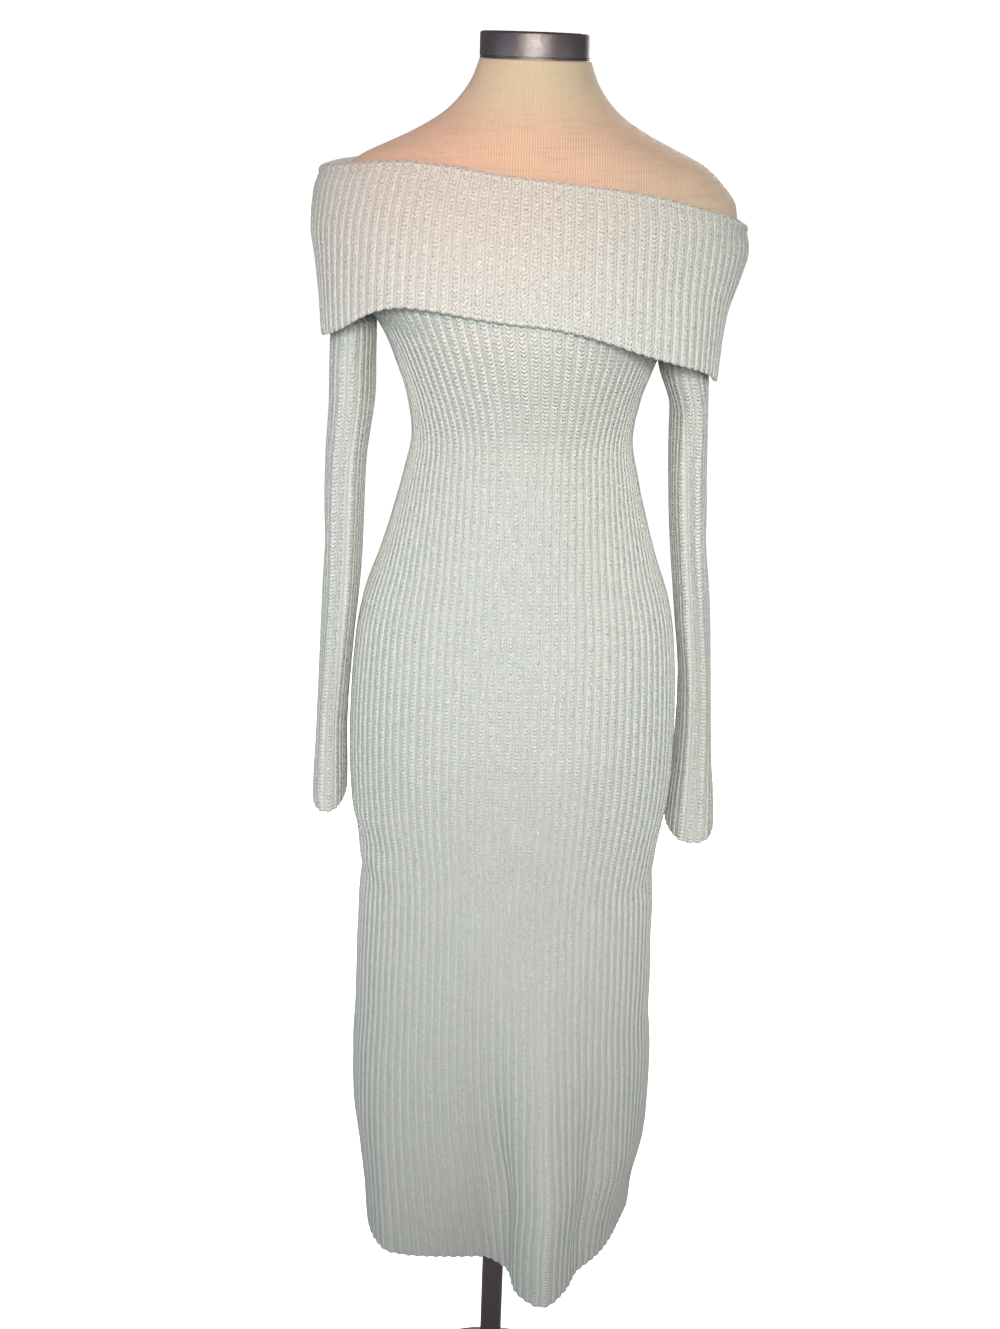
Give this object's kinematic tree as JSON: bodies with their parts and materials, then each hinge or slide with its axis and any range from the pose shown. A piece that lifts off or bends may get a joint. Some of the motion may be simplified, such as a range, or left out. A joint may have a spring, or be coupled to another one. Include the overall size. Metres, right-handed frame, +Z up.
{
  "type": "off-shoulder knit dress on dress form",
  "caption": "Off-shoulder rib-knit midi dress with a wide fold-over collar and long hanging sleeves, worn by a limbless dress form on a pole stand.",
  "frame": {"origin": "centre of the stand's underside", "axes": "+Z up; the dress's front faces -Y; the wearer's left is +X"},
  "size_m": [0.4302, 0.3, 1.617],
  "materials": {
    "rib_knit": "ivory rib knit, brushed nap",
    "jersey": "beige stretch jersey",
    "brushed_steel": "brushed"
  },
  "bodies": {
    "root": {"dress_front": "rib_knit", "dress_back": "rib_knit", "sleeve_left": "rib_knit", "sleeve_right": "rib_knit", "collar": "rib_knit", "form_torso": "jersey", "neck_cap": "brushed_steel", "stand_pole": "brushed_steel", "stand_base": "brushed_steel"}
  },
  "joints": []
}
